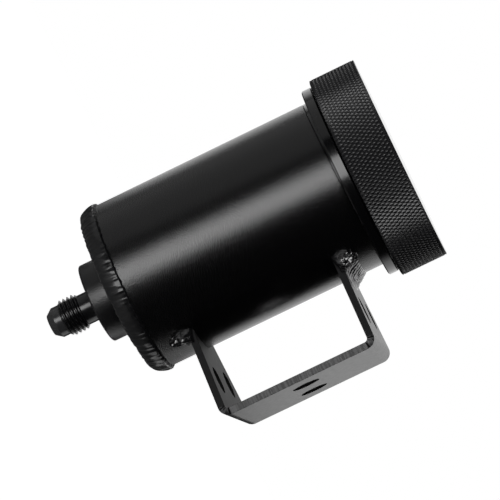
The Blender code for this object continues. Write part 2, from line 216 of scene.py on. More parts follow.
class WeldSizes(bpy.types.PropertyGroup):
    """Base bead, leg fillet and tacks"""

    ripples: count("Ripples round the base bead", 76)
    ripple_height: length("Height of the base bead's ripples", 0.11)
    wander: length("How far the base bead's surface wanders between its ripples", 0.2)
    bead_centre: length("Radius of the bead's section centre", 23.6)
    toe_height: length("Height of the bead's upper toe above its crown", 0.6)
    bead_drop: length("Drop of the section's centre below the tube's end", 0.9)
    bead_width: length("Half width of the bead's section", 2.5)
    bead_height: length("Half height of the bead's section", 3.25)
    scallops: count("Scallops along the bead's upper toe", 54)
    foot: length("Reach of the upper fillet along the tube", 4.5)
    rise: length("Reach of the upper fillet along the leg", 3.6)
    overrun: length("Weld past the corners of a leg", 2.8)
    fillet_ripple: length("Distance between the fillet's ripples", 1.45)
    fillet_height: length("Height of the fillet's ripples", 0.2)
    end_round: length("Length over which a leg weld fills out from its end", 1.8)
    blob_reach: length("Half length of the blob that wraps a leg's corner", 3.6)
    blob: number("How much fuller the weld is at a corner", 0.28)
    wrap: number("How far a blob wraps over the sheet's edge", 0.5)
    lumps: length("Height of the lumps at a leg's corners", 1.0)
    far_lumps: share("Height of the lumps at a leg's -X corner, as a share of the +X corner's", 0.4)
    folds: number("Depth of the folds between the lumps, as a share of the lumps", 0.9)
    dome: share("Reach of the rounded end beyond a corner, as a share of the weld's foot", 0.9)
    fan: number("How much the fillet's ripples bow", 5.0)
    tack_overrun: length("Weld of a tack past its corner", 1.5)
    tack_foot: length("Reach of a tack along the tube", 5.2)
    tack_rise: length("Reach of a tack along the leg", 3.1)
    tack_length: length("Length of a tack on the leg", 4.0)
    tint: colour("Colour of the coated welds", (0.004, 0.004, 0.0044))
    roughness: share("Roughness of the coated base bead", 0.17)
    toe_roughness: share("Roughness of the base bead's upper toe", 0.45)
    tack_roughness: share("Roughness of the coated bracket welds", 0.12)


class StageSizes(bpy.types.PropertyGroup):
    """Floor, lamps and camera"""

    camera_place: position("Where the camera stands", (0.749, 0.0859, 0.0595))
    camera_aim: position("Point that the camera looks at", (0.0, -0.043, 0.001))
    camera_roll: angle("Turn of the camera about its line of sight", 64.2)
    camera_lens: number("Focal length in millimetres", 192.2)
    floor_drop: length("Depth of the floor below the bracket's centre", 300.0)
    floor_radius: length("Radius of the floor", 2500.0)
    key_power: number("Power of the long softbox in watts", 5.1)
    fill_power: number("Power of the wide fill in watts", 1.3)
    back_power: number("Power of the softbox behind, in watts", 0.6)


def deselect():
    if bpy.context.object and bpy.context.object.mode != "OBJECT":
        bpy.ops.object.mode_set(mode="OBJECT")
    bpy.ops.object.select_all(action="DESELECT")


def activate(obj):
    """Selects one object alone."""
    deselect()
    obj.select_set(True)
    bpy.context.view_layer.objects.active = obj


def edit(obj):
    """Opens an object's mesh for editing with nothing selected."""
    activate(obj)
    bpy.ops.object.mode_set(mode="EDIT")
    bpy.ops.mesh.select_all(action="DESELECT")
    return bmesh.from_edit_mesh(obj.data)


def face_outwards():
    """Turns every face of the edited mesh outwards and leaves edit mode."""
    bpy.ops.mesh.select_all(action="SELECT")
    bpy.ops.mesh.normals_make_consistent(inside=False)
    bpy.ops.object.mode_set(mode="OBJECT")


def close_up():
    """Joins the points of the edited mesh that meet, and finishes it."""
    bpy.ops.mesh.select_all(action="SELECT")
    bpy.ops.mesh.remove_doubles(threshold=MERGE)
    face_outwards()


def spin(steps, turn):
    """Sweeps what is selected round the canister's axis."""
    bpy.ops.mesh.spin(steps=steps, angle=turn, center=(0, AXIS_Y, 0), axis=(0, 0, 1))


def corner_arc(before, corner, after, radius):
    """Points on the arc that rounds a corner of an outline."""
    to_before = (before - corner).normalized()
    to_after = (after - corner).normalized()
    half = to_before.angle(to_after) / 2
    centre = corner + (to_before + to_after).normalized() * radius / math.sin(half)
    start = (corner + to_before * radius / math.tan(half) - centre).normalized()
    end = (corner + to_after * radius / math.tan(half) - centre).normalized()
    return [centre + radius * start.slerp(end, step / ARC_STEPS) for step in range(ARC_STEPS + 1)]


def rounded(outline):
    """Gives each corner that has a third value an arc of that radius."""
    corners = [Vector(point[:2]) for point in outline]
    points = []
    for i, point in enumerate(outline):
        if len(point) == 2:
            points.append(corners[i])
        else:
            after = corners[(i + 1) % len(corners)]
            points += corner_arc(corners[i - 1], corners[i], after, point[2])
    return points


def wall(radius, low, high, rows):
    """Evenly spaced points up a straight wall, with both ends."""
    return [(radius, low + (high - low) * row / rows) for row in range(rows + 1)]


def draw_outline(name, points):
    """Draws a closed outline of (radius, height) points beside the axis, by extruding one point along it."""
    deselect()
    bpy.ops.mesh.primitive_plane_add(size=MM, location=(0, 0, 0))
    obj = bpy.context.object
    obj.name = name
    obj.data.name = name
    bpy.ops.object.mode_set(mode="EDIT")
    bpy.ops.mesh.select_mode(type="VERT")
    bpy.ops.mesh.merge(type="CENTER")
    bpy.ops.transform.translate(value=(points[0][0], AXIS_Y, points[0][1]))
    for before, after in zip(points, points[1:]):
        step = (after[0] - before[0], 0, after[1] - before[1])
        bpy.ops.mesh.extrude_vertices_move(TRANSFORM_OT_translate={"value": step})
    mesh = bmesh.from_edit_mesh(obj.data)
    ends = [vert for vert in mesh.verts if len(vert.link_edges) == 1]
    for vert in ends:
        vert.select = True
    bpy.ops.mesh.edge_face_add()
    bpy.ops.mesh.select_all(action="SELECT")
    return obj


def turn_outline(steps):
    """Spins the drawn outline once round the canister's axis and joins its ends."""
    spin(steps, math.tau)
    close_up()


def turned_piece(name, outline, steps):
    obj = draw_outline(name, rounded(outline))
    turn_outline(steps)
    return obj


def apply_modifier(obj, name, kind, **values):
    activate(obj)
    modifier = obj.modifiers.new(name, kind)
    for key, value in values.items():
        setattr(modifier, key, value)
    bpy.ops.object.modifier_apply(modifier=modifier.name)


def paint_faces(obj, material, wanted):
    """Gives the faces that wanted(face) picks a finish of their own."""
    index = len(obj.data.materials)
    obj.data.materials.append(material)
    for face in obj.data.polygons:
        if wanted(face):
            face.material_index = index


def finish_piece(obj, material, body, nodes, smooth_degrees=30.0, flat_faces=False):
    """Checks that the piece is closed, gives it its finish and ties it to the frame."""
    mesh = bmesh.new()
    mesh.from_mesh(obj.data)
    open_edges = [edge for edge in mesh.edges if len(edge.link_faces) != 2]
    mesh.free()
    if open_edges:
        raise RuntimeError(f"{obj.name} has {len(open_edges)} open edges")
    activate(obj)
    bpy.ops.object.shade_smooth_by_angle(angle=math.radians(smooth_degrees))
    if flat_faces:
        apply_modifier(obj, "flat faces", "WEIGHTED_NORMAL", keep_sharp=True)
    obj.data.materials.clear()
    obj.data.materials.append(material)
    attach(obj, body)
    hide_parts(*nodes)


def polar(place):
    """Radius and angle of a point round the canister's axis."""
    return math.hypot(place.x, place.y - AXIS_Y), math.atan2(place.y - AXIS_Y, place.x)


def set_radius(vert, radius):
    before, turn = polar(vert.co)
    vert.co.x = radius * math.cos(turn)
    vert.co.y = AXIS_Y + radius * math.sin(turn)


def smooth_step(low, high, value):
    part = min(max((value - low) / (high - low), 0.0), 1.0)
    return part * part * (3 - 2 * part)


def cut_thread(obj, low, high, crest, depth, pitch, inside=False):
    """Cuts a right-hand thread into a wall by moving its points, leaving what is already deeper."""
    crest_flat = pitch / 8
    flank = math.tan(math.radians(60))
    beside = depth + 0.4 * MM
    for vert in obj.data.vertices:
        radius, turn = polar(vert.co)
        if not low < vert.co.z < high or abs(radius - crest) > beside:
            continue
        phase = (vert.co.z - low) / pitch - turn / math.tau
        from_crest = abs((phase + 0.5) % 1.0 - 0.5) * pitch
        cut = min(max((from_crest - crest_flat / 2) * flank, 0.0), depth)
        if inside:
            set_radius(vert, max(radius, crest + cut))
        else:
            set_radius(vert, min(radius, crest - cut))


def ripple_shape(phase):
    """Height of overlapping weld ripples from 0 to 1: round crests and sharp valleys."""
    return abs(math.cos(phase / 2)) ** 0.8


# Materials


def add_node(material, kind, **values):
    node = material.node_tree.nodes.new(kind)
    for key, value in values.items():
        if key in node.inputs:
            node.inputs[key].default_value = value
        else:
            setattr(node, key, value)
    return node


def link(material, source, target):
    material.node_tree.links.new(source, target)


def shader_inputs(material):
    return material.node_tree.nodes["Principled BSDF"].inputs


def mapped(material, value, span, levels=(0.0, 1.0), interpolation="LINEAR"):
    """Maps a value from one span to another and holds it at the ends."""
    node = add_node(material, "ShaderNodeMapRange", interpolation_type=interpolation)
    for name, level in zip(("From Min", "From Max", "To Min", "To Max"), (*span, *levels)):
        node.inputs[name].default_value = level
    link(material, value, node.inputs["Value"])
    return node.outputs["Result"]


def combined(material, operation, first, second):
    """Works out one value between 0 and 1 from two."""
    node = add_node(material, "ShaderNodeMath", operation=operation, use_clamp=True)
    link(material, first, node.inputs[0])
    link(material, second, node.inputs[1])
    return node.outputs["Value"]


def mixed(material, factor, low, high):
    """A colour between two, by a factor."""
    node = add_node(material, "ShaderNodeMix", data_type="RGBA")
    colours = [item for item in node.inputs if item.type == "RGBA"]
    colours[0].default_value = (*low, 1.0)
    colours[1].default_value = (*high, 1.0)
    link(material, factor, node.inputs["Factor"])
    return next(item for item in node.outputs if item.type == "RGBA")


def seen_directly(material):
    """1 for rays that come from the camera or pass through a surface, and 0 for light and reflections."""
    path = add_node(material, "ShaderNodeLightPath")
    return combined(material, "ADD", path.outputs["Is Camera Ray"], path.outputs["Is Transmission Ray"])


def plain_material(name, tint, roughness, specular=0.5, coat=0.0):
    material = bpy.data.materials.new(name)
    material.use_nodes = True
    inputs = shader_inputs(material)
    inputs["Base Color"].default_value = (*tint, 1.0)
    inputs["Roughness"].default_value = roughness
    inputs["Specular IOR Level"].default_value = specular
    inputs["Coat Weight"].default_value = coat
    inputs["Coat Roughness"].default_value = roughness
    return material


def object_place(material):
    return add_node(material, "ShaderNodeTexCoord").outputs["Object"]


def noise_value(material, scale, detail, stretch=(1.0, 1.0, 1.0)):
    """A noise over the object's own coordinates; scale is in features per metre."""
    mapping = add_node(material, "ShaderNodeMapping")
    mapping.inputs["Scale"].default_value = stretch
    link(material, object_place(material), mapping.inputs["Vector"])
    texture = add_node(material, "ShaderNodeTexNoise", Scale=scale, Detail=detail)
    link(material, mapping.outputs["Vector"], texture.inputs["Vector"])
    return texture.outputs["Fac"]


def add_bump(material, height, depth, strength=1.0):
    """Adds a bump over the ones that the shader already has."""
    bump = add_node(material, "ShaderNodeBump")
    bump.inputs["Strength"].default_value = strength
    bump.inputs["Distance"].default_value = depth
    link(material, height, bump.inputs["Height"])
    normal = shader_inputs(material)["Normal"]
    if normal.is_linked:
        link(material, normal.links[0].from_socket, bump.inputs["Normal"])
    link(material, bump.outputs["Normal"], normal)


# Each finish has the scale and detail of the noise in its roughness, how far that goes down and up, and
# its bumps with their scale, detail, depth in millimetres, strength and, where it has one, their stretch
SATIN = ((900.0, 3.0), (-0.05, 0.05), ((2700.0, 0.0, 0.06, 0.7),))
TURNING_MARKS = (300.0, 2.0, 0.004, 0.5, (1.0, 1.0, 30.0))
TURNED = ((1500.0, 2.0), (-0.04, 0.05), (TURNING_MARKS, (4200.0, 1.0, 0.01, 0.3)))
WELD = ((700.0, 2.0), (-0.06, 0.12), ((900.0, 2.0, 0.04, 0.4),))
SHEET = ((600.0, 3.0), (-0.05, 0.06), ((2600.0, 2.0, 0.012, 0.35),))
RUBBER = ((1200.0, 2.0), (-0.07, 0.08), ((2400.0, 2.0, 0.015, 0.4),))


def grained(finish, name, tint, roughness, specular=0.5):
    """A material with the grain of one of the finishes above."""
    grain, spread, bumps = finish
    material = plain_material(name, tint, roughness, specular)
    levels = [roughness + shift for shift in spread]
    varied = mapped(material, noise_value(material, *grain), (0.0, 1.0), levels)
    link(material, varied, shader_inputs(material)["Roughness"])
    for scale, detail, depth, strength, *stretch in bumps:
        add_bump(material, noise_value(material, scale, detail, *stretch), depth * MM, strength)
    return material


def filed_black_with_painted_sheen(name, tint, roughness):
    """Coating over an edge that was filed across, with a painted sheen: dark, and tinted with the given
    lighter colour where the marks rise over their span.
    """
    material = plain_material(name, tint, roughness, specular=0.25)
    marks = noise_value(material, 1900.0, 1.0, (0.05, 0.05, 1.0))
    span = (0.38, 0.62)
    dark = (0.001, 0.001, 0.001)
    scratched = mixed(material, mapped(material, marks, span), dark, tint)
    link(material, scratched, shader_inputs(material)["Base Color"])
    add_bump(material, marks, 0.06 * MM, 0.6)
    return material


class RESERVOIR_OT_stage(bpy.types.Operator):
    """Make the pale floor, the soft light and the camera"""

    bl_idname = "reservoir.stage"
    bl_label = "Stage"

    # Each lamp's name, turn from +X towards +Y and height in degrees, distance and size in metres
    lamps = (
        ("key softbox", -9.0, 0.0, 0.7, (0.32, 0.9)),
        ("side fill", -80.0, 0.0, 0.9, (1.2, 0.9)),
        ("back softbox", 118.0, -24.0, 0.7, (0.5, 0.32)),
    )
    # The floor's glow where the camera sees it, by the distance from its middle in metres
    glow_span = (0.25, 1.0)
    glow_levels = (0.55, 1.0)
    # What reflections show: dim all round, white towards -X and a little lighter from below
    dim = (0.008, 0.008, 0.008)
    white = (1.0, 1.0, 1.0)
    backdrop_span = (-0.4, -0.7)
    below_span = (-0.25, -0.8)
    below_levels = (0.0, 0.09)

    def execute(self, context):
        sizes = context.scene.reservoir_stage
        self.make_floor(sizes)
        self.make_world(context.scene)
        centre = Vector((0, AXIS_Y, 0))
        for lamp, power in zip(self.lamps, (sizes.key_power, sizes.fill_power, sizes.back_power)):
            self.make_lamp(centre, *lamp, power)
        self.make_camera(context.scene, sizes)
        context.scene.view_settings.view_transform = "Standard"
        return {"FINISHED"}

    def make_floor(self, sizes):
        deselect()
        bpy.ops.mesh.primitive_circle_add(
            vertices=96, radius=sizes.floor_radius, fill_type="NGON", location=(0, AXIS_Y, -sizes.floor_drop)
        )
        floor = bpy.context.object
        floor.name = "floor"
        material = plain_material("pale floor", (0.8, 0.8, 0.8), 0.9, specular=0.1)
        spread = add_node(material, "ShaderNodeVectorMath", operation="LENGTH")
        link(material, object_place(material), spread.inputs[0])
        glow = mapped(material, spread.outputs["Value"], self.glow_span, self.glow_levels)
        strength = combined(material, "MULTIPLY", glow, seen_directly(material))
        inputs = shader_inputs(material)
        inputs["Emission Color"].default_value = (*self.white, 1.0)
        link(material, strength, inputs["Emission Strength"])
        floor.data.materials.append(material)

    def make_world(self, scene):
        """White where the camera looks, and as a backdrop behind the object in its reflections."""
        world = bpy.data.worlds.new("studio")
        scene.world = world
        world.use_nodes = True
        background = world.node_tree.nodes["Background"]
        place = add_node(world, "ShaderNodeTexCoord")
        split = add_node(world, "ShaderNodeSeparateXYZ")
        link(world, place.outputs["Generated"], split.inputs["Vector"])
        backdrop = mapped(world, split.outputs["X"], self.backdrop_span, interpolation="SMOOTHSTEP")
        below = mapped(world, split.outputs["Z"], self.below_span, self.below_levels, "SMOOTHSTEP")
        path = add_node(world, "ShaderNodeLightPath")
        around = combined(world, "MAXIMUM", backdrop, below)
        mirrored = combined(world, "MULTIPLY", path.outputs["Is Glossy Ray"], around)
        bright = combined(world, "ADD", seen_directly(world), mirrored)
        link(world, mixed(world, bright, self.dim, self.white), background.inputs["Color"])

    def make_lamp(self, centre, name, turn, height, distance, size, power):
        """Makes a soft rectangle of light that faces the canister."""
        deselect()
        around = math.radians(turn)
        up = math.radians(height)
        out = Vector((math.cos(around) * math.cos(up), math.sin(around) * math.cos(up), math.sin(up)))
        bpy.ops.object.light_add(type="AREA", location=centre + out * distance)
        lamp = bpy.context.object
        lamp.name = name
        lamp.data.shape = "RECTANGLE"
        lamp.data.size = size[0]
        lamp.data.size_y = size[1]
        lamp.data.energy = power
        lamp.rotation_euler = (-out).to_track_quat("-Z", "Y").to_euler()

    def make_camera(self, scene, sizes):
        deselect()
        place = Vector(sizes.camera_place)
        bpy.ops.object.camera_add(location=place)
        camera = bpy.context.object
        camera.rotation_euler = (Vector(sizes.camera_aim) - place).to_track_quat("-Z", "Y").to_euler()
        camera.rotation_euler.rotate_axis("Z", sizes.camera_roll)
        camera.data.lens = sizes.camera_lens
        camera.data.sensor_width = 36.0
        camera.data.clip_start = 0.01
        camera.data.clip_end = 50.0
        scene.camera = camera


class RESERVOIR_OT_body_tube(bpy.types.Operator):
    """Make the drawn tube that holds the fluid"""

    bl_idname = "reservoir.body_tube"
    bl_label = "Body Tube"

    def execute(self, context):
        sizes = context.scene.reservoir_canister
        inner = TUBE_RADIUS - sizes.tube_wall
        outline = [
            (inner, TUBE_BOTTOM),
            (TUBE_RADIUS - sizes.weld_prep, TUBE_BOTTOM),
            (TUBE_RADIUS, TUBE_BOTTOM + sizes.weld_prep),
            (TUBE_RADIUS, TUBE_TOP, SLIGHT),
            (inner, TUBE_TOP, SLIGHT),
        ]
        obj = turned_piece("body_tube", outline, ROUND_STEPS)
        follow_joint(obj, TUBE_TOP - 0.5 * MM, TUBE_TOP + MM, TUBE_TOP, sizes.joint_gap / 2, sizes)
        material = grained(SATIN, "satin black tube", sizes.satin, sizes.satin_roughness)
        finish_piece(obj, material, "canister", ["body_tube"])
        return {"FINISHED"}


def follow_joint(obj, low, high, flat_height, away, sizes):
    """Moves the edge between two heights onto the joint line, which lies slightly out of square."""
    flange_bottom = TUBE_TOP + GAP + COLLAR_HEIGHT
    for vert in obj.data.vertices:
        if low < vert.co.z < high:
            part = (vert.co.y - AXIS_Y) / TUBE_RADIUS
            side = vert.co.x / TUBE_RADIUS
            drop = sizes.joint_drop - sizes.joint_lean_x * side - sizes.joint_lean_y * part
            vert.co.z += flange_bottom - drop - away - flat_height


class RESERVOIR_OT_base_plate(bpy.types.Operator):
    """Make the disc that closes the tube's lower end"""

    bl_idname = "reservoir.base_plate"
    bl_label = "Base Plate"

    def execute(self, context):
        sizes = context.scene.reservoir_canister
        hole = context.scene.reservoir_bung.spigot / 2 + 0.1 * MM
        outline = [
            (hole, PLATE_BOTTOM, BROKEN),
            (PLATE_RADIUS, PLATE_BOTTOM, BROKEN),
            (PLATE_RADIUS, PLATE_TOP, BROKEN),
            (hole, PLATE_TOP, BROKEN),
        ]
        obj = turned_piece("base_plate", outline, ROUND_STEPS)
        material = grained(SATIN, "satin black plate", sizes.satin, sizes.satin_roughness)
        finish_piece(obj, material, "canister", ["base_plate"])
        return {"FINISHED"}


class RESERVOIR_OT_base_weld(bpy.types.Operator):
    """Make the rippled bead round the lower corner of the canister"""

    bl_idname = "reservoir.base_weld"
    bl_label = "Base Weld"

    arc_points = 24
    steps_per_ripple = 10
    # How the ripples bow, lean and waver across the bead, in radians of their phase
    bow = 4.0
    bow_middle = 0.45
    lean = 11.0
    waver = 1.6
    # Fineness of the wandering round the canister, and its change across the bead
    drift_scale = 9.0
    local_scale = 26.0
    local_shift = 3.0
    # Where the bead's surface begins, and how its ripples fade at the toes, sit and vary in height
    skin = 0.97
    fade = 0.6
    valley = 0.6
    steady = 0.8
    unsteady = 0.7
    # Share of the bead's section that the scallops take, and their height
    toe_share = 0.2
    scallop_height = 0.3 * MM

    def execute(self, context):
        sizes = context.scene.reservoir_welds
        prep = context.scene.reservoir_canister.weld_prep
        centre = sizes.bead_centre
        middle = TUBE_BOTTOM - sizes.bead_drop
        start = math.acos((TUBE_RADIUS - centre) / sizes.bead_width)
        crown = middle + sizes.bead_height * math.sin(start) - sizes.toe_height
        above = sizes.toe_height / math.sin(start)
        below = crown - middle + sizes.bead_height
        end = -math.pi + math.asin((crown - PLATE_BOTTOM) / below)
        arc = []
        for i in range(self.arc_points + 1):
            turn = start + (end - start) * i / self.arc_points
            height = above if turn > 0 else below
            arc.append((centre + sizes.bead_width * math.cos(turn), crown + height * math.sin(turn)))
        root = [
            (PLATE_RADIUS, PLATE_BOTTOM),
            (PLATE_RADIUS, TUBE_BOTTOM),
            (TUBE_RADIUS - 0.05 * MM, TUBE_BOTTOM + prep),
        ]
        obj = draw_outline("base_weld", arc + root)
        turn_outline(sizes.ripples * self.steps_per_ripple)
        self.ripple(obj, (centre, crown), (above, below), (start, end), sizes)
        material = grained(WELD, "gloss black base weld", sizes.tint, sizes.roughness, specular=0.45)
        finish_piece(obj, material, "canister", ["base_weld"], smooth_degrees=50.0)
        toe = grained(WELD, "dark black toe", sizes.tint, sizes.toe_roughness, specular=0.12)
        paint_faces(obj, toe, lambda face: face.center.z > crown + 0.15 * sizes.toe_height)
        return {"FINISHED"}

    def ripple(self, obj, centre, heights, ends, sizes):
        """Raises slanting ripples on the crown and scallops along its upper toe."""
        start, end = ends
        for vert in obj.data.vertices:
            radius, turn = polar(vert.co)
            across = (radius - centre[0]) / sizes.bead_width
            height = heights[0] if vert.co.z > centre[1] else heights[1]
            up = (vert.co.z - centre[1]) / height
            if across * across + up * up < self.skin:
                continue
            slope = math.atan2(up, across)
            if slope > math.pi / 2:
                slope -= math.tau
            part = (start - slope) / (start - end)
            if not -0.01 < part < 1.01:
                continue
            around = Vector((math.cos(turn), math.sin(turn), 0.0))
            drift = noise.noise(around * self.drift_scale)
            local = noise.noise(around * self.local_scale + Vector((0, 0, self.local_shift * part)))
            phase = sizes.ripples * turn + self.lean * part + self.waver * drift
            phase += self.bow * (2 * (part - self.bow_middle)) ** 2
            body = math.sin(math.pi * min(max(part, 0.0), 1.0)) ** self.fade
            rise = sizes.ripple_height * (self.steady + self.unsteady * local)
            lift = rise * (ripple_shape(phase) - self.valley) * body
            lift += sizes.wander * (drift + local) * body
            normal = Vector((across / sizes.bead_width, up / height)).normalized()
            set_radius(vert, radius + lift * normal.x)
            vert.co.z += lift * normal.y
            toe = 1.0 - smooth_step(0.0, self.toe_share, part)
            scallop = abs(math.sin(sizes.scallops * turn / 2 + 2.0 * drift))
            vert.co.z += toe * self.scallop_height * (scallop - 0.5)


class RESERVOIR_OT_outlet_bung(bpy.types.Operator):
    """Make the turned outlet with its flange, thread and flare cone"""

    bl_idname = "reservoir.outlet_bung"
    bl_label = "Outlet Bung"

    rows_per_turn = 14

    def execute(self, context):
        sizes = context.scene.reservoir_bung
        bore = sizes.bore / 2
        neck = sizes.neck / 2
        thread = sizes.thread / 2
        top = PLATE_BOTTOM - 0.05 * MM
        face = PLATE_BOTTOM - GAP - sizes.flange_thickness
        face_height = face + sizes.edge_round
        thread_top = face - sizes.neck_length
        thread_bottom = thread_top - sizes.thread_length
        land_bottom = thread_bottom - sizes.land
        tip = BUNG_BOTTOM
        tip_radius = neck - sizes.flare * math.tan(sizes.flare_angle)
        bevel = thread - neck
        rows = round((sizes.thread_length - 2 * bevel) / sizes.pitch * self.rows_per_turn)
        ramp = round(bevel / sizes.pitch * self.rows_per_turn)
        upper = [(neck + bevel * i / ramp, thread_top - bevel * i / ramp) for i in range(1, ramp)]
        lower = [(thread - bevel * i / ramp, thread_bottom + bevel * (1 - i / ramp)) for i in range(1, ramp)]
        outline = [
            (bore, PLATE_TOP),
            (sizes.spigot / 2, PLATE_TOP, BROKEN),
            (sizes.spigot / 2, top),
            (sizes.flange / 2, top, SOFT),
            (sizes.flange / 2, face, sizes.edge_round),
            (neck, face, EASED),
            (neck, thread_top),
            *upper,
            *wall(thread, thread_top - bevel, thread_bottom + bevel, rows),
            *lower,
            (neck, thread_bottom),
            (neck, land_bottom, SLIGHT),
            (tip_radius, tip, SLIGHT),
            (bore, tip, SOFT),
        ]
        obj = turned_piece("outlet_bung", outline, SMALL_ROUND_STEPS)
        cut_thread(obj, thread_bottom, thread_top, thread, sizes.depth, sizes.pitch)
        material = grained(TURNED, "bright black bung", sizes.tint, sizes.roughness)
        finish_piece(obj, material, "canister", ["outlet_bung"], smooth_degrees=35.0)
        satin = grained(SATIN, "satin black flange", sizes.tint, roughness=0.33)
        paint_faces(obj, satin, lambda face: face.center.z > face_height)
        # The land and flare take the lighter colour: a painted sheen.
        bright = grained(TURNED, "black flare with painted sheen", sizes.flare_painted_sheen, sizes.roughness)
        paint_faces(obj, bright, lambda face: face.center.z < thread_bottom)
        return {"FINISHED"}


class RESERVOIR_OT_neck_ring(bpy.types.Operator):
    """Make the ring with its collar, flange and threaded neck"""

    bl_idname = "reservoir.neck_ring"
    bl_label = "Neck Ring"

    rows_per_turn = 16

    def execute(self, context):
        sizes = context.scene.reservoir_canister
        cap = context.scene.reservoir_cap
        collar_bottom = TUBE_TOP + GAP
        flange_bottom = collar_bottom + COLLAR_HEIGHT
        flange_top = flange_bottom + sizes.flange_thickness
        neck = CAP_RADIUS - cap.wall - 0.4 * MM
        bore = neck - sizes.neck_wall
        spigot = bore + sizes.spigot_wall
        relief = neck - sizes.neck_relief
        thread_low = flange_top + 1.4 * MM
        thread_high = NECK_TOP - 0.8 * MM
        rows = round((thread_high - thread_low) / sizes.neck_pitch * self.rows_per_turn)
        chamfer = sizes.flange_chamfer
        outline = [
            (bore, SPIGOT_BOTTOM, FULL),
            (spigot, SPIGOT_BOTTOM, FULL),
            (spigot, collar_bottom),
            (TUBE_RADIUS, collar_bottom, FINE),
            (TUBE_RADIUS, flange_bottom, FINE),
            (FLANGE_RADIUS - chamfer, flange_bottom, CRISP),
            (FLANGE_RADIUS, flange_bottom + chamfer, CRISP),
            (FLANGE_RADIUS, flange_top - chamfer, CRISP),
            (FLANGE_RADIUS - chamfer, flange_top, CRISP),
            (relief, flange_top, BROKEN),
            (relief, thread_low - 0.6 * MM, FINE),
            *wall(neck, thread_low, thread_high, rows),
            (neck - 0.8 * MM, NECK_TOP, SOFT),
            (bore, NECK_TOP, FULL),
        ]
        obj = turned_piece("neck_ring", outline, ROUND_STEPS)
        low, high = collar_bottom - 0.05 * MM, collar_bottom + 0.15 * MM
        follow_joint(obj, low, high, collar_bottom, -sizes.joint_gap / 2, sizes)
        cut_thread(obj, thread_low, NECK_TOP, neck, sizes.neck_depth, sizes.neck_pitch)
        material = grained(TURNED, "turned black ring", sizes.turned, sizes.turned_roughness)
        finish_piece(obj, material, "canister", ["neck_ring"])
        return {"FINISHED"}


class RESERVOIR_OT_screw_cap(bpy.types.Operator):
    """Make the hollow cap with its diamond knurl"""

    bl_idname = "reservoir.screw_cap"
    bl_label = "Screw Cap"

    rows_per_turn = 16

    def execute(self, context):
        sizes = context.scene.reservoir_cap
        canister = context.scene.reservoir_canister
        bottom = CAP_LOW.z
        top = CAP_HIGH.z
        ceiling = top - sizes.top
        bore = CAP_RADIUS - sizes.wall
        edge = 0.5 * sizes.chamfer
        knurl_rows = round((top - bottom - 2 * edge) / sizes.knurl_rise)
        thread_low = bottom + sizes.mouth
        thread_high = ceiling - 1.2 * MM
        thread_rows = round((thread_high - thread_low) / canister.neck_pitch * self.rows_per_turn)
        seal = (SEAL_HIGH.x - SEAL_LOW.x - sizes.section) / 2
        groove = sizes.section / 2 + GAP
        roof = SEAL_HIGH.z + GAP
        outline = [
            (bore + sizes.mouth, bottom, FINE),
            (CAP_RADIUS - sizes.chamfer, bottom),
            *wall(CAP_RADIUS, bottom + edge, top - edge, knurl_rows),
            (CAP_RADIUS - sizes.chamfer, top),
            (CAP_RADIUS - 2.5 * sizes.chamfer, top),
            (CAP_RADIUS / 2, top),
            (0.0, top),
            (0.0, ceiling),
            (seal - groove, ceiling, FINE),
            (seal - groove, roof, BROKEN),
            (seal + groove, roof, BROKEN),
            (seal + groove, ceiling, FINE),
            (bore, ceiling, FULL),
            *wall(bore, thread_high, thread_low, thread_rows),
        ]
        obj = draw_outline("screw_cap", rounded(outline))
        self.drop_axis_edge(obj)
        turn_outline(2 * sizes.grooves)
        self.cut_knurl(obj, bottom + edge, top - edge, knurl_rows, sizes)
        crest = bore - 0.2 * MM
        depth = canister.neck_depth
        cut_thread(obj, thread_low, ceiling - GAP, crest, depth, canister.neck_pitch, inside=True)
        material = grained(TURNED, "knurled black cap", sizes.tint, sizes.roughness)
        finish_piece(obj, material, "cap", ["screw_cap"], smooth_degrees=55.0)
        facing = plain_material("faced black top", sizes.tint, sizes.top_roughness, coat=0.6)
        paint_faces(obj, facing, lambda face: face.normal.z > 0.9 and face.center.z > top - MM)
        return {"FINISHED"}

    def drop_axis_edge(self, obj):
        """Deletes the outline's edge along the axis, which would turn into nothing."""
        bpy.ops.mesh.select_all(action="DESELECT")
        mesh = bmesh.from_edit_mesh(obj.data)
        for edge in mesh.edges:
            if all(abs(vert.co.x) < MERGE for vert in edge.verts):
                edge.select = True
        bpy.ops.mesh.delete(type="EDGE")
        bpy.ops.mesh.select_all(action="SELECT")

    def cut_knurl(self, obj, low, high, rows, sizes):
        """Sinks every other point of the wall, joins them into grooves and flattens the diamonds between."""
        mesh = edit(obj)
        row_height = (high - low) / rows
        step = math.pi / sizes.grooves
        tip = CAP_RADIUS + sizes.knurl_depth * sizes.knurl_flat / (1 - sizes.knurl_flat)
        peaks = []
        for vert in mesh.verts:
            radius, turn = polar(vert.co)
            if radius < CAP_RADIUS - 0.02 * MM:
                continue
            column = round(turn / step)
            row = round((vert.co.z - low) / row_height)
            if (column + row) % 2 == 0:
                vert.select = True
                set_radius(vert, CAP_RADIUS - sizes.knurl_depth)
            elif 0 < row < rows:
                set_radius(vert, tip)
                peaks.append(vert)
        bpy.ops.mesh.vert_connect()
        bpy.ops.mesh.select_all(action="DESELECT")
        for vert in peaks:
            vert.select = True
        bpy.ops.mesh.bevel(offset_type="PERCENT", offset_pct=100 * sizes.knurl_flat, affect="VERTICES")
        bpy.ops.object.mode_set(mode="OBJECT")


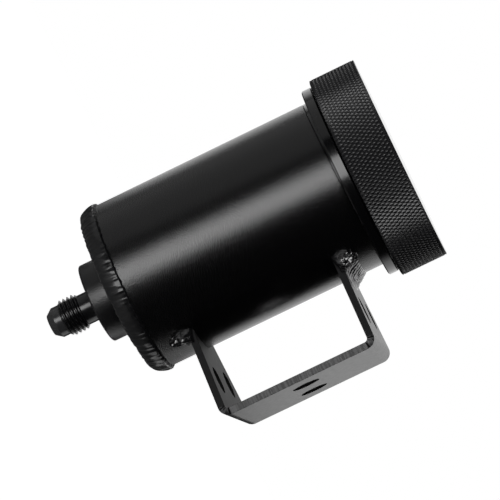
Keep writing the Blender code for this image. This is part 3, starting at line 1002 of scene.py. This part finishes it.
class RESERVOIR_OT_cap_seal(bpy.types.Operator):
    """Make the rubber ring between cap and neck"""

    bl_idname = "reservoir.cap_seal"
    bl_label = "Cap Seal"

    section_steps = 24

    def execute(self, context):
        sizes = context.scene.reservoir_cap
        centre = Vector(((SEAL_HIGH.x - SEAL_LOW.x - sizes.section) / 2, (SEAL_LOW.z + SEAL_HIGH.z) / 2))
        outline = []
        for i in range(self.section_steps):
            turn = math.tau * i / self.section_steps
            reach = sizes.section / 2
            if i % (self.section_steps // 2):
                reach -= sizes.parting
            outline.append(centre + Vector((math.cos(turn), math.sin(turn))) * reach)
        obj = turned_piece("cap_seal", outline, ROUND_STEPS)
        material = grained(RUBBER, "black rubber seal", sizes.rubber, roughness=0.62, specular=0.35)
        finish_piece(obj, material, "seal", ["cap_seal"])
        return {"FINISHED"}


class RESERVOIR_OT_mounting_bracket(bpy.types.Operator):
    """Fold the sheet bracket, cut its holes and fit it to the tube"""

    bl_idname = "reservoir.mounting_bracket"
    bl_label = "Mounting Bracket"

    bend_steps = 16
    hole_steps = 64
    # Painted shade: darker than the sheet, for the holes' walls and the edges' bevels.
    painted_shade_tint = (0.002, 0.002, 0.002)
    # Lengths of the drills and of the tube's cutter, its clearance and the legs' first reach past the axis
    drill_length = 12 * MM
    tube_cutter = 100 * MM
    tube_fit = 0.02 * MM
    leg_excess = 12 * MM

    def execute(self, context):
        sizes = context.scene.reservoir_bracket
        obj = self.fold_sheet(sizes)
        self.taper_legs(obj, sizes)
        apply_modifier(obj, "sheet", "SOLIDIFY", thickness=sizes.sheet, offset=-1.0, use_even_offset=True)
        self.swell_bends(obj, sizes)
        self.drill(obj, sizes)
        corner = math.radians(50)
        apply_modifier(
            obj, "edge", "BEVEL", width=sizes.edge, segments=3, limit_method="ANGLE", angle_limit=corner
        )
        material = grained(SHEET, "satin black sheet", sizes.tint, sizes.roughness)
        finish_piece(obj, material, "canister", ["mounting_bracket"], flat_faces=True)
        inside = grained(SHEET, "satin black inside", sizes.tint, roughness=0.6, specular=0.25)
        paint_faces(obj, inside, self.is_inside)
        cut = grained(SHEET, "cut black edge", sizes.tint, sizes.roughness, specular=0.25)
        paint_faces(obj, cut, self.is_edge)
        # The back plate's edges get a lighter tint than the sheet, a painted sheen over real file marks; the
        # legs' edges stay dark.
        filed = filed_black_with_painted_sheen("filed black edge with painted sheen", sizes.edge_tint_with_painted_sheen, sizes.roughness)
        outer = sizes.bend + sizes.sheet
        paint_faces(obj, filed, lambda face: self.is_edge(face) and face.center.y > -outer)
        # The holes' walls and the edges' bevels are painted darker than the sheet: painted shade.
        matt = plain_material("matt black painted shade in holes and bevels", self.painted_shade_tint, roughness=0.8, specular=0.1)
        paint_faces(obj, matt, lambda face: self.is_hole(face) or 0.2 < abs(face.normal.x) < 0.9)
        return {"FINISHED"}

    def is_inside(self, face):
        towards_middle = face.normal.z * math.copysign(1.0, face.center.z)
        return face.normal.y < -0.5 or towards_middle < -0.5

    def is_edge(self, face):
        return abs(face.normal.x) > 0.8 and not self.is_hole(face)

    def is_hole(self, face):
        """Tells whether a face belongs to the wall of one of the six holes."""
        sizes = bpy.context.scene.reservoir_bracket
        x = abs(face.center.x) - sizes.hole_spacing / 2
        in_back = math.hypot(x, face.center.z)
        in_leg = math.hypot(x, face.center.y - AXIS_Y - sizes.leg_holes)
        rim = sizes.hole / 2 + 0.9 * sizes.edge
        through_back = abs(face.normal.y) < 0.99 and in_back < rim
        through_leg = abs(face.normal.z) < 0.99 and in_leg < rim
        return through_back or through_leg

    def fold_sheet(self, sizes):
        """Draws the back plate's outer face, turns each long edge through its bend and pulls out the leg."""
        outer = sizes.bend + sizes.sheet
        half = LEG_OUTER - outer
        deselect()
        bpy.ops.mesh.primitive_plane_add(size=1.0, rotation=(math.radians(-90), 0, 0))
        obj = bpy.context.object
        obj.name = "mounting_bracket"
        obj.data.name = "mounting_bracket"
        bpy.ops.transform.resize(value=(sizes.width, 1, 2 * half))
        bpy.ops.object.transform_apply(location=True, rotation=True, scale=True)
        leg_end = AXIS_Y + self.leg_excess
        for side in (1, -1):
            mesh = edit(obj)
            bpy.ops.mesh.select_mode(type="EDGE")
            for edge in mesh.edges:
                if all(abs(vert.co.z - side * half) < MERGE for vert in edge.verts):
                    edge.select = True
            bmesh.update_edit_mesh(obj.data)
            bpy.ops.mesh.spin(
                steps=self.bend_steps,
                angle=side * math.radians(-90),
                center=(0, -outer, side * half),
                axis=(1, 0, 0),
            )
            bpy.ops.mesh.extrude_region_move(TRANSFORM_OT_translate={"value": (0, leg_end + outer, 0)})
            bpy.ops.object.mode_set(mode="OBJECT")
        bpy.ops.object.mode_set(mode="EDIT")
        close_up()
        return obj

    def taper_legs(self, obj, sizes):
        """Draws the legs in from the bend to their width at the tube."""
        outer = sizes.bend + sizes.sheet
        at_tube = AXIS_Y + math.sqrt(TUBE_RADIUS ** 2 - (sizes.leg_width / 2) ** 2)
        slope = (sizes.width - sizes.leg_width) / 2 / (-outer - at_tube)
        for vert in obj.data.vertices:
            run = max(-outer - vert.co.y, 0.0)
            vert.co.x *= 1 - 2 * slope * run / sizes.width

    def swell_bends(self, obj, sizes):
        """Lets the sheet's inner edge swell and its outer edge draw in where it is bent."""
        outer = sizes.bend + sizes.sheet
        half = LEG_OUTER - outer
        for vert in obj.data.vertices:
            up = abs(vert.co.z) - half
            out = vert.co.y + outer
            if up < -MERGE or out < -MERGE or abs(vert.co.x) < sizes.width / 4:
                continue
            reach = math.hypot(up, out)
            around = math.sin(2 * math.atan2(max(up, 0.0), max(out, 0.0)))
            depth = (outer - reach) / sizes.sheet
            swell = ((sizes.bulge + sizes.pinch) * depth - sizes.pinch) * around
            ears = sizes.ears * (1 - (2 * around * around - 1) ** 2)
            vert.co.x += math.copysign(swell + ears, vert.co.x)

    def drill(self, obj, sizes):
        """Cuts the six bolt holes and the hollow that fits the tube."""
        x = sizes.hole_spacing / 2
        leg_y = AXIS_Y + sizes.leg_holes
        hole = (sizes.hole / 2, self.drill_length, self.hole_steps)
        for side in (-1, 1):
            self.bore(obj, *hole, (side * x, 0, 0), math.radians(90))
            for leg in (-1, 1):
                self.bore(obj, *hole, (side * x, leg_y, leg * LEG_OUTER))
        self.bore(obj, TUBE_RADIUS + self.tube_fit, self.tube_cutter, ROUND_STEPS, (0, AXIS_Y, 0))

    def bore(self, obj, radius, depth, steps, place, tilt=0.0):
        """Takes a cylinder out of the sheet."""
        deselect()
        bpy.ops.mesh.primitive_cylinder_add(
            vertices=steps, radius=radius, depth=depth, location=place, rotation=(tilt, 0, 0)
        )
        cutter = bpy.context.object
        apply_modifier(obj, "hole", "BOOLEAN", object=cutter, operation="DIFFERENCE", solver="EXACT")
        bpy.data.objects.remove(cutter)


class RESERVOIR_OT_bracket_welds(bpy.types.Operator):
    """Make the fillet on the upper leg and the two tacks on the lower leg"""

    bl_idname = "reservoir.bracket_welds"
    bl_label = "Bracket Welds"

    face_points = 26
    step_length = 0.12 * MM
    # Share of the sheet's thickness that the weld covers on the leg's edge, and how hollow the fillet is
    cover = 0.7
    hollow = 0.12
    # Distances past a corner between which the section turns into a dome
    dome_start = -1.6 * MM
    dome_end = 0.6 * MM
    # Features per millimetre of the noises, and where the lumps and folds start in them
    wander_scale = 0.3
    lump_scale = 1.1
    lump_start = Vector((3, 1, 7))
    fold_scale = 0.75
    fold_start = Vector((5, 2, 1))
    grain_scale = 1.5
    grain = 0.15
    # Where the lifts fade out on the section, which begins further up beyond a corner
    toe_part = 0.06
    dome_part = 0.15
    end_part = 0.94
    # How much the ripples waver and grow in a blob, and the shares of a lift that go outwards and sideways
    waver = 1.5
    blob_ripples = 1.2
    outwards = 0.7
    sideways = 0.45

    def execute(self, context):
        sizes = context.scene.reservoir_welds
        leg_width = context.scene.reservoir_bracket.leg_width
        corner = TUBE_RADIUS * math.asin(leg_width / 2 / TUBE_RADIUS)
        outside = corner + sizes.overrun
        inside = corner - sizes.tack_length
        tack_end = corner + sizes.tack_overrun
        material = grained(WELD, "gloss black bracket weld", sizes.tint, sizes.tack_roughness, specular=1.0)
        rows = (
            ("bracket_weld_upper", 1, -outside, outside, sizes.foot, sizes.rise),
            ("bracket_weld_lower", -1, inside, tack_end, sizes.tack_foot, sizes.tack_rise),
            ("bracket_weld_lower_far", -1, -tack_end, -inside, sizes.tack_foot, sizes.tack_rise),
        )
        for name, side, start, end, foot, rise in rows:
            obj = self.make_fillet(name, start, end, foot, rise)
            self.shape(obj, side, start, end, foot, rise, corner, sizes)
            finish_piece(obj, material, "canister", [name], smooth_degrees=50.0)
        return {"FINISHED"}

    def make_fillet(self, name, start, end, foot, rise):
        """Sweeps the fillet's section round the tube, from one end of the weld to the other."""
        sheet = bpy.context.scene.reservoir_bracket.sheet
        root = TUBE_RADIUS - 0.15 * MM
        bottom = LEG_OUTER - self.cover * sheet
        outline = [(root, bottom), (TUBE_RADIUS + rise, bottom)]
        for i in range(self.face_points + 1):
            part = i / self.face_points
            sag = self.hollow * math.sin(math.pi * part) * (1 - part)
            outline.append((TUBE_RADIUS + rise * (1 - part - sag), LEG_OUTER + foot * (part - sag / 2)))
        outline.append((root, LEG_OUTER + foot))
        obj = draw_outline(name, outline)
        spin(round((end - start) / self.step_length), (start - end) / TUBE_RADIUS)
        bpy.ops.mesh.select_all(action="SELECT")
        bpy.ops.mesh.fill_holes(sides=0)
        face_outwards()
        return obj

    def shape(self, obj, side, start, end, foot, rise, corner, sizes):
        """Rounds off the weld's ends, wraps it over the leg's corners and raises its ripples and lumps."""
        sheet = bpy.context.scene.reservoir_bracket.sheet
        for vert in obj.data.vertices:
            radius, turn = polar(vert.co)
            along = start + turn * TUBE_RADIUS
            reach = radius - TUBE_RADIUS
            up = vert.co.z - LEG_OUTER
            from_end = min(along - start, end - along)
            to_edge = min(max(from_end / sizes.end_round, 0.0), 1.0)
            fullness = max(math.sqrt(1 - (1 - to_edge) ** 2), 0.1)
            beyond = smooth_step(self.dome_start, self.dome_end, abs(along) - corner)
            blob = 1.0 - smooth_step(0.0, sizes.blob_reach, abs(abs(along) - corner))
            swell = fullness * (1 + sizes.blob * blob)
            low = -(1 + sizes.wrap) * self.cover * sheet
            half = (sizes.dome * foot - low) / 2
            turned = math.atan2(reach / rise, (up - low - half) / half)
            dome_up = low + half + half * math.cos(turned) * fullness
            dome_reach = rise * math.sin(turned) * swell
            if up > 0:
                up *= swell
            up += beyond * (dome_up - up)
            reach = reach * swell + beyond * (dome_reach - reach * swell)
            if reach > 0:
                part = math.atan2(max(up, 0.0) / foot, reach / rise) / (math.pi / 2)
                place = Vector((along, reach, side * up)) / MM
                wander = noise.noise(place * self.wander_scale)
                phase = math.tau * along / sizes.fillet_ripple + self.waver * wander
                phase += sizes.fan * (part - 0.5) ** 2
                lift = sizes.fillet_height * (ripple_shape(phase) - 0.5) * (1 + self.blob_ripples * blob)
                lumpy = sizes.lumps * blob * (1.0 if along > 0 else sizes.far_lumps)
                lift += lumpy * (3 * abs(noise.noise(place * self.lump_scale + self.lump_start)) - 0.4)
                fold = 0.5 - 2.5 * abs(noise.noise(place * self.fold_scale + self.fold_start))
                lift += sizes.folds * lumpy * fold
                lift += self.grain * sizes.lumps * noise.noise(place * self.grain_scale)
                lowest = self.toe_part + self.dome_part * beyond
                lift *= math.sin(math.pi * min(max(part, lowest), self.end_part)) ** 0.5
                reach += lift * self.outwards
                up += lift * self.outwards
                along += math.copysign(self.sideways * beyond * lift, along)
            around = math.pi / 2 - along / TUBE_RADIUS
            radius = TUBE_RADIUS + reach
            height = side * (LEG_OUTER + up)
            vert.co = Vector((radius * math.cos(around), AXIS_Y + radius * math.sin(around), height))
        edit(obj)
        face_outwards()


class RESERVOIR_PT_panel(bpy.types.Panel):
    """Lists the reservoir's pieces and their sizes"""

    bl_idname = "RESERVOIR_PT_panel"
    bl_label = "Brake Fluid Reservoir"
    bl_space_type = "VIEW_3D"
    bl_region_type = "UI"
    bl_category = "Reservoir"

    def draw(self, context):
        layout = self.layout
        for group in GROUPS:
            settings = getattr(context.scene, group)
            box = layout.box()
            for name in settings.__annotations__:
                box.prop(settings, name, text=name.replace("_", " ").title())
        for operator in OPERATORS:
            layout.operator(operator.bl_idname)


GROUPS = {
    "reservoir_stage": StageSizes,
    "reservoir_canister": CanisterSizes,
    "reservoir_bung": BungSizes,
    "reservoir_cap": CapSizes,
    "reservoir_bracket": BracketSizes,
    "reservoir_welds": WeldSizes,
}
OPERATORS = (
    RESERVOIR_OT_stage,
    RESERVOIR_OT_body_tube,
    RESERVOIR_OT_base_plate,
    RESERVOIR_OT_base_weld,
    RESERVOIR_OT_outlet_bung,
    RESERVOIR_OT_neck_ring,
    RESERVOIR_OT_screw_cap,
    RESERVOIR_OT_cap_seal,
    RESERVOIR_OT_mounting_bracket,
    RESERVOIR_OT_bracket_welds,
)


def register():
    for name, group in GROUPS.items():
        bpy.utils.register_class(group)
        setattr(bpy.types.Scene, name, PointerProperty(type=group))
    for operator in OPERATORS:
        bpy.utils.register_class(operator)
    bpy.utils.register_class(RESERVOIR_PT_panel)


def unregister():
    bpy.utils.unregister_class(RESERVOIR_PT_panel)
    for operator in reversed(OPERATORS):
        bpy.utils.unregister_class(operator)
    for name, group in reversed(GROUPS.items()):
        delattr(bpy.types.Scene, name)
        bpy.utils.unregister_class(group)


def main():
    register()
    bpy.ops.reservoir.stage()
    bpy.ops.reservoir.body_tube()
    bpy.ops.reservoir.base_plate()
    bpy.ops.reservoir.base_weld()
    bpy.ops.reservoir.outlet_bung()
    bpy.ops.reservoir.neck_ring()
    bpy.ops.reservoir.screw_cap()
    bpy.ops.reservoir.cap_seal()
    bpy.ops.reservoir.mounting_bracket()
    bpy.ops.reservoir.bracket_welds()


if __name__ == "__main__":
    main()
